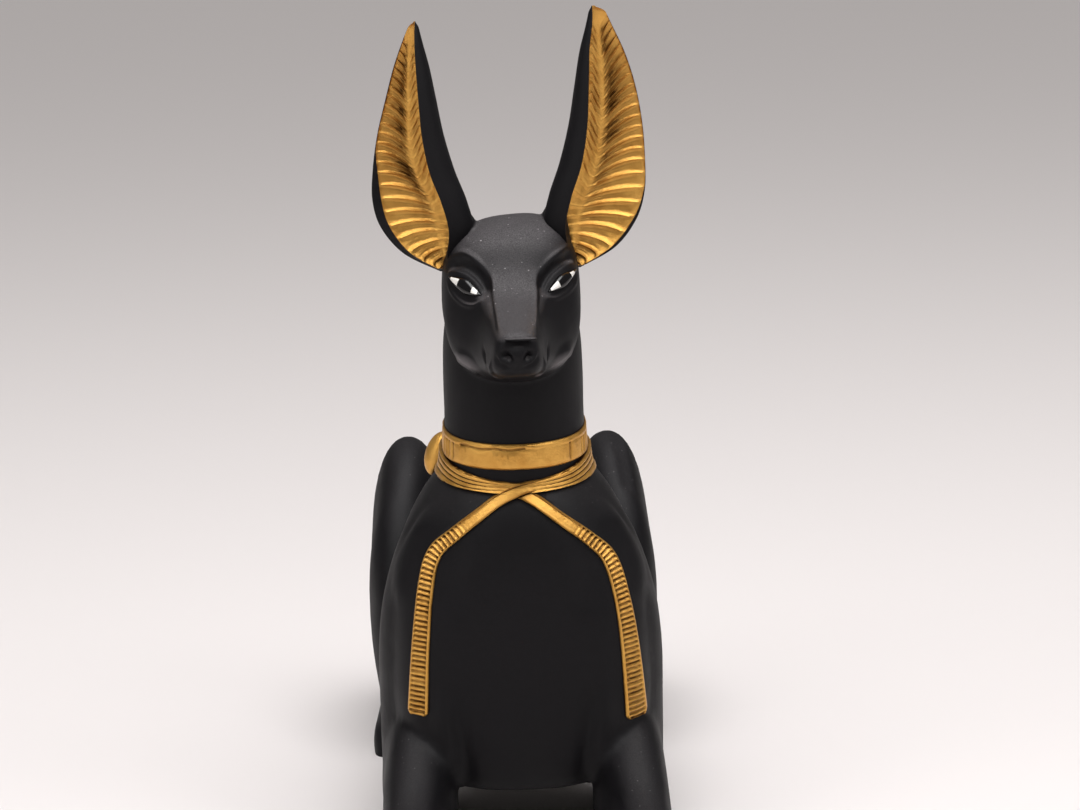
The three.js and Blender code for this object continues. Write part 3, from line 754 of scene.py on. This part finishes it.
def ear(slimness, columns=34):
    """One scoop: a plain back and a ribbed hollow, bridged along their edges. Its rows follow the ribs, which
    leave a midrib on both sides as on a feather. Low on the outer side, the back stands out past the gold."""
    chance = random.Random(RIB_SEED + slimness)
    deep = [chance.uniform(0.75, 1.15) for _ in range(RIBS + 1)]
    outside, inside = [], []
    for r in range(RIBS * ROWS_PER_RIB + 1):
        part = r / (RIBS * ROWS_PER_RIB)
        root = EAR_FOOT + EAR_TALL * (0.82 * part + 0.18 * part * part)
        up = (root - EAR_FOOT) / EAR_TALL
        middle = 0.1 + 0.17 * min(1, up / 0.4) + 0.05 * max(0, up - 0.5) / 0.4
        leave, reach = (np.interp(up, [row[0] for row in SWEEP], [row[k] for row in SWEEP]) for k in (1, 2))
        barb = 1.3 * soft((up - 0.18) / 0.17)
        settle = soft((root - EAR_FOOT) / 3) * soft((EAR_TOP - root) / 3)
        valley = abs(math.sin(math.pi * r / ROWS_PER_RIB)) ** 0.6
        if r % ROWS_PER_RIB == ROWS_PER_RIB // 2:
            valley *= 0.72
        valley *= deep[r // ROWS_PER_RIB] * soft(up / 0.05) * soft((0.93 - up) / 0.07)
        a, b, c, d = ear_bow(root, slimness)[0]
        wide = d[0] - a[0]
        bare = (1.4 + 0.9 * slimness) * soft((0.3 + 0.14 * slimness - up) / 0.2) / max(3 * math.dist(c, d), 6)
        back, front = [], []
        for k in range(columns + 1):
            t = 1 - (1 - k / columns) ** 1.5
            seen = (along_bow(a, b, c, d, t)[0][0] - a[0]) / wide
            out = (seen - middle) / (1 - middle)
            if out > 0:
                rise = wide * (1 - middle) * (leave * out + (reach - leave) * out * out / 2)
            else:
                rise = wide * middle * barb * min(1, (middle - seen) / middle)
            z = min(EAR_TOP, max(EAR_FOOT, root + rise * settle))
            bow, bulge = ear_bow(z, slimness)
            groove = valley * soft((abs(seen - middle) * wide - 0.15) / 1.1) * min(1, 9 * t)
            groove *= (1 if out > 0 else 0.5) * min(1, (columns - k) / 2)
            for u, row in ((t, back), (t * (1 - bare), front)):
                point, inward = along_bow(*bow, u)
                if row is front:
                    wall = EAR_WALL * min(1, bulge / 4) * (0.2 + 0.8 * math.sin(math.pi * t) ** 0.7)
                    point = point + inward * (wall - min(RIB_DEPTH * groove, 0.6 * wall))
                row.append(at(point[0], point[1], z - slimness * SHORTER * (z - EAR_FOOT) / EAR_TALL))
        outside.append(back)
        inside.append(front)
    piece = sheet_of(outside, black)
    hollow = sheet_of(inside, gold)
    alone(piece)
    hollow.select_set(True)
    bpy.ops.object.join()
    bpy.ops.object.mode_set(mode="EDIT")
    bpy.ops.mesh.select_mode(type="EDGE")
    bpy.ops.mesh.select_all(action="DESELECT")
    bpy.ops.mesh.select_non_manifold(extend=False)
    bpy.ops.mesh.bridge_edge_loops()
    bpy.ops.mesh.select_all(action="SELECT")
    bpy.ops.mesh.normals_make_consistent(inside=False)
    bpy.ops.mesh.select_mode(type="VERT")
    bpy.ops.object.mode_set(mode="OBJECT")
    return piece


weld(jackal, [ear(0), turned_over(ear(1))])

# Collar
# A flat band round the neck, cast in relief and painted gold. A fine line runs under its top edge, and short
# upright lines stand at its sides.
COLLAR_HALF = 3.2
COLLAR_RELIEF = 1.0
SIDE_RELIEF = 0.5
COLLAR_RADIUS = 17.9
NECK_Y = 20
BURIED = 3
CLEAR_OF_NECK = 80


def on_skin(start, way):
    """Where a line from a point first meets the casting."""
    hit, place, _, _ = jackal.ray_cast(start, way)
    if not hit:
        raise ValueError(f"nothing at {start}")
    return place


def band(name, count, profile, level, half_height, relief):
    """A closed band round the neck, with its inner side buried in the neck. The profile lists places across
    it, from -1 at the bottom to 1 at the top."""
    hoops = []
    for i in range(count):
        angle = 2 * math.pi * i / count
        outward = Vector((math.cos(angle), math.sin(angle), 0))
        backness = (1 + outward.y) / 2
        heights = [(v, relief(angle, v)) for v in profile] + [(1, -BURIED), (-1, -BURIED)]
        hoop = []
        for v, height in heights:
            middle = at(0, NECK_Y, level(backness) + v * half_height(backness))
            start = middle + outward * CLEAR_OF_NECK * MM
            hoop.append(on_skin(start, -outward) + outward * height * MM)
        hoops.append(hoop)
    return skin(name, hoops, closed=True)


def dip(distance, half_width):
    """How deep a rounded groove is at a distance from its line, from 0 to 1."""
    return max(0, 1 - (distance / half_width) ** 2)


# Upright lines cut in the band, by how far they stand from the middle in the front view
TICKS = [-16.8, -16, -15.3, -14.2, 12, 15.1, 15.9, 16.8]


def collar_relief(angle, v):
    """The band's height off the neck: a little uneven, with its fine line and its upright lines cut in."""
    front = max(0, -math.sin(angle))
    place = math.cos(angle) * COLLAR_RADIUS
    height = SIDE_RELIEF + (COLLAR_RELIEF - SIDE_RELIEF) * min(1, 1.4 * front)
    height *= min(1, 3.2 * (1 - abs(v)) + 0.45)
    height += 0.05 * math.sin(9 * angle) + 0.03 * math.sin(23 * angle + 3 * v)
    cut = 0.4 if -12.5 < place < 2 and front > 0 else 0.08
    height -= cut * dip(v - 0.6 - 0.05 * math.sin(place), 0.11)
    if front > 0 and -0.78 < v < 0.6:
        height -= 0.5 * max(0, 1 - min(abs(place - tick) for tick in TICKS) / 0.3)
    return height


ACROSS_COLLAR = [-1, -0.97, -0.9, -0.8, -0.5, 0, 0.4, 0.52, 0.57, 0.62, 0.67, 0.72, 0.84, 0.93, 0.98, 1]
collar = band(
    "collar", 560, ACROSS_COLLAR,
    lambda backness: COLLAR_FRONT + (COLLAR_BACK - COLLAR_FRONT) * backness,
    lambda backness: COLLAR_HALF,
    collar_relief,
)

# Scarf
# A folded cloth laid round the foot of the neck, crossed at the throat, cast in relief and painted gold.
SCARF_RELIEF = 1.2
ACROSS_SCARF = [-1 + 2 * k / 34 for k in range(35)]


def scarf_relief(angle, v):
    """Four strands with narrow creases between them. These close up in front, where the cloth is tight."""
    loose = soft(abs(math.cos(angle)) * 1.7 - 0.3)
    strand = 2 * (v + 0.12 * math.sin(5 * angle)) % 1
    crease = max(0, 1 - min(strand, 1 - strand) / 0.17) ** 1.5
    height = SCARF_RELIEF * min(1, 4 * (1 - abs(v)) + 0.4)
    return height - (0.1 + 0.34 * loose) * crease + 0.12 * loose * math.sin(math.pi * strand)


scarf = band(
    "scarf", 420, ACROSS_SCARF,
    lambda backness: 90.6 + 7 * backness ** 0.7,
    lambda backness: 1.3 + 2.3 * min(1, 2 * backness) ** 0.8,
    scarf_relief,
)

# Ribbons
# The scarf's two ends run from the crossing over the shoulders and down to the forelegs. They have raised
# borders and, from the shoulders down, fine rungs like a ladder's. They are cast in relief and painted gold.
RIBBON_LINES = {
    1: [
        (-5.2, 91.3, 1.2),
        (-1.2, 90.5, 1.35),
        (4.1, 88, 1.4),
        (10.1, 83.6, 1.45),
        (16.9, 78.4, 1.6),
        (22, 72.8, 1.8),
        (24.8, 62.8, 1.95),
        (26.5, 50.1, 2.3),
        (27.8, 32.4, 2.8),
    ],
    -1: [
        (-6.2, 91.4, 1.2),
        (-1.6, 90.7, 1.35),
        (4.2, 88.5, 1.4),
        (9.6, 84.9, 1.45),
        (15.6, 80.4, 1.6),
        (20.8, 75.4, 1.75),
        (23.2, 67, 1.9),
        (24.9, 52, 2.15),
        (26, 35.2, 2.45),
    ],
}
RIBBON_RELIEF = 0.95
RUNG_PITCH = 1.27
# How far along a ribbon its rungs begin and where they are at full depth, then where it still crosses the
# other one at full height and where it is back on the body
RUNGS_FROM, RUNGS_FULL = 20, 26
CROSSED_AT, CROSSED_BY = 8, 13
ACROSS_RIBBON = [-1, -0.96, -0.88, -0.8, -0.74, -0.66, -0.3, 0, 0.3, 0.66, 0.74, 0.8, 0.88, 0.96, 1]


def ribbon(side, lift, steps=560):
    """One end of the scarf. Near its start it rides up by the lift, where it crosses the other one."""
    line = RIBBON_LINES[side]
    hoops = []
    length = 0
    before = None
    for i in range(steps + 1):
        x, z, half = between(line, i / steps)
        half *= 1 - 0.3 * max(0, (i / steps - 0.985) / 0.015) ** 2
        ahead = between(line, min(1, i / steps + 0.002)) - between(line, max(0, i / steps - 0.002))
        run = Vector((ahead[0], ahead[1])).normalized()
        if before is not None:
            length += math.dist(before, (x, z))
        before = (x, z)
        rungs = soft((length - RUNGS_FROM) / (RUNGS_FULL - RUNGS_FROM))
        gap = 1 - (0.5 + 0.5 * math.cos(2 * math.pi * length / RUNG_PITCH)) ** 0.8
        over = lift * soft(length / 4) * soft((CROSSED_BY - length) / (CROSSED_BY - CROSSED_AT))
        over -= 0.5 * soft((2 - length) / 2)
        hoop = []
        for v in ACROSS_RIBBON + [1, -1]:
            start = Vector((side * (x + v * half * run.y) * MM, -0.3, (z - v * half * run.x) * MM))
            place = on_skin(start, Vector((0, 1, 0)))
            outward = Vector((0.5 * place.x, place.y - (NECK_Y + NECK_FRONT) * MM, 0)).normalized()
            height = (RIBBON_RELIEF + over) * min(1, 3 * (1 - abs(v)) + 0.5)
            height -= soft((0.8 - abs(v)) / 0.12) * (0.32 + rungs * (0.55 * gap - 0.2))
            if len(hoop) >= len(ACROSS_RIBBON):
                height = -BURIED
            hoop.append(place + outward * height * MM)
        hoops.append(hoop)
    return skin("ribbon", hoops)


ribbons = [ribbon(1, 0.2), ribbon(-1, 0.6)]
for piece in [collar, scarf] + ribbons:
    finish_with(piece, "DECIMATE", ratio=0.5)
nape_loop = painted(lump((3.5, 4, 5.9), (0, 20, 0), (-19, 39, 92.4)), gold)
weld(jackal, [painted(piece, gold) for piece in [collar, scarf] + ribbons] + [nape_loop])
slice_off(jackal, (0, 0, 0), (0, 0, -1))

alone(jackal)
bpy.ops.object.shade_smooth_by_angle(angle=math.radians(60))
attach(jackal, "root")
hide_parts("jackal_figure")

# Table, light and camera
# A pale table in a soft room light. The camera stands a metre in front, a little above the figure, and looks
# slightly down, as in the photo.
bpy.ops.object.select_all(action="DESELECT")
bpy.ops.mesh.primitive_plane_add(size=12, location=(0, 0, 0))
table = bpy.context.object
table.name = "table"
# Painted board, plain and pale, with a dull surface that shows a soft shadow
top, _, _ = paint("pale_table_top", "e6e0df", 0, 0.6)
table.data.materials.append(top)

world = bpy.context.scene.world or bpy.data.worlds.new("room")
bpy.context.scene.world = world
world.use_nodes = True
world.node_tree.nodes["Background"].inputs["Color"].default_value = linear("d8d4d0")
world.node_tree.nodes["Background"].inputs["Strength"].default_value = 0.22


def softbox(name, place, aim, size, power):
    """A rectangular lamp that faces a point. Places and sizes are in metres."""
    lamp = bpy.data.lights.new(name, "AREA")
    lamp.shape = "RECTANGLE"
    lamp.size, lamp.size_y = size
    lamp.energy = power
    holder = bpy.data.objects.new(name, lamp)
    bpy.context.collection.objects.link(holder)
    holder.location = place
    holder.rotation_euler = (Vector(aim) - Vector(place)).to_track_quat("-Z", "Y").to_euler()


bpy.context.scene.view_settings.view_transform = "Standard"
softbox("overhead", (0.05, -0.25, 1.1), (0, -0.03, 0.1), (0.9, 0.9), 11)
softbox("left", (-1.0, -0.8, 0.6), (0, -0.05, 0.12), (0.6, 0.8), 3)
softbox("right", (1.0, -0.7, 0.7), (0, -0.05, 0.12), (0.6, 0.8), 3)

# Light that comes evenly from a wide part of the ceiling
sky = bpy.data.lights.new("wide_ceiling_light", "SUN")
sky.angle = math.radians(70)
sky.energy = 1.3
ceiling = bpy.data.objects.new("wide_ceiling_light", sky)
bpy.context.collection.objects.link(ceiling)
ceiling.rotation_euler = (math.radians(20), 0, 0)

CAMERA_PLACE = (-0.018, -0.997, 0.2803)
ASIDE, DOWN, ROLL = -0.026, 0.1809, -0.0264
lens = bpy.data.cameras.new("camera")
lens.sensor_width = 36
lens.lens = 128.33
camera = bpy.data.objects.new("camera", lens)
bpy.context.collection.objects.link(camera)
turn = Matrix.Rotation(ASIDE, 3, "Z") @ Matrix.Rotation(math.pi / 2 - DOWN, 3, "X")
turn = turn @ Matrix.Rotation(ROLL, 3, "Z")
camera.location = CAMERA_PLACE
camera.rotation_euler = turn.to_euler()
bpy.context.scene.camera = camera
